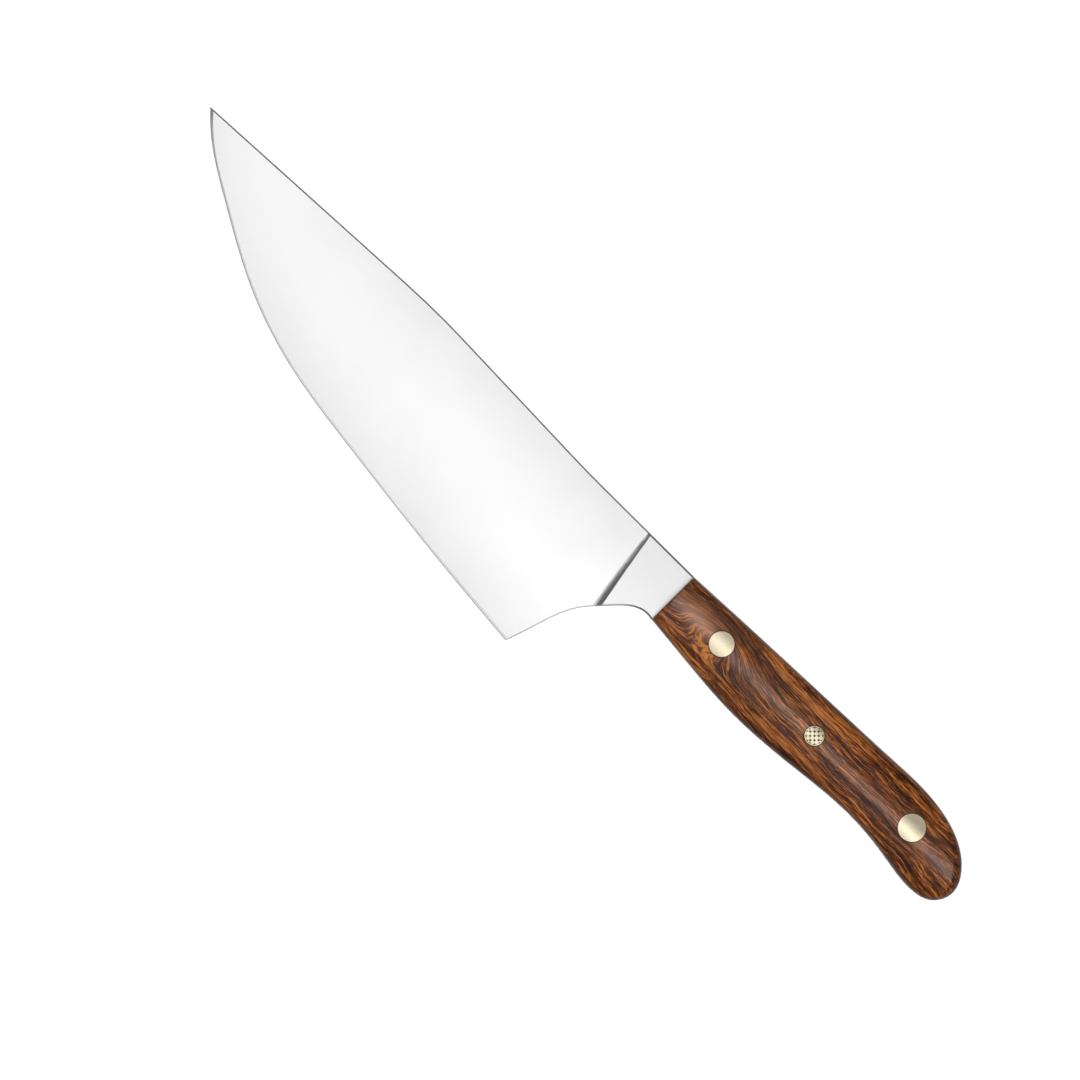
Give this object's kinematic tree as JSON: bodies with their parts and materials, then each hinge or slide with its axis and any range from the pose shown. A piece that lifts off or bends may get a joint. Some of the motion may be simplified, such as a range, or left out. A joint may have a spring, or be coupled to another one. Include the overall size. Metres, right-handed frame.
{
  "type": "chef knife",
  "caption": "Full-tang chef's knife with a broad pointed blade, curved heel and riveted wooden handle, for slicing and chopping food.",
  "frame": {"origin": "middle of the knife's outline, on the surface that the lowest point of its right side rests on", "axes": "+X to the tip, +Y to the cutting edge, +Z out of the left side of the knife"},
  "size_m": [0.3372, 0.0596, 0.0199],
  "materials": {
    "blade_steel": "satin, brushed across the blade",
    "handle_wood": "oiled and polished to a satin",
    "glue": "cured epoxy film",
    "rivet_brass": "ground flush and finely brushed",
    "pin_brass": "ground flush and finely brushed",
    "pin_resin": "dark cast resin, polished with the wood"
  },
  "bodies": {
    "root": {"blade_and_tang": "blade_steel", "front_rivet_sleeve_half": "rivet_brass", "front_rivet_stud_half": "rivet_brass", "left_glue_film": "glue", "left_scale": "handle_wood", "mosaic_pin_resin": "pin_resin", "mosaic_pin_rod_01": "pin_brass", "mosaic_pin_rod_02": "pin_brass", "mosaic_pin_rod_03": "pin_brass", "mosaic_pin_rod_04": "pin_brass", "mosaic_pin_rod_05": "pin_brass", "mosaic_pin_rod_06": "pin_brass", "mosaic_pin_rod_07": "pin_brass", "mosaic_pin_rod_08": "pin_brass", "mosaic_pin_rod_09": "pin_brass", "mosaic_pin_rod_10": "pin_brass", "mosaic_pin_rod_11": "pin_brass", "mosaic_pin_rod_12": "pin_brass", "mosaic_pin_small_rod_1": "pin_brass", "mosaic_pin_small_rod_2": "pin_brass", "mosaic_pin_small_rod_3": "pin_brass", "mosaic_pin_small_rod_4": "pin_brass", "mosaic_pin_tube": "pin_brass", "rear_rivet_sleeve_half": "rivet_brass", "rear_rivet_stud_half": "rivet_brass", "right_glue_film": "glue", "right_scale": "handle_wood"}
  },
  "joints": []
}
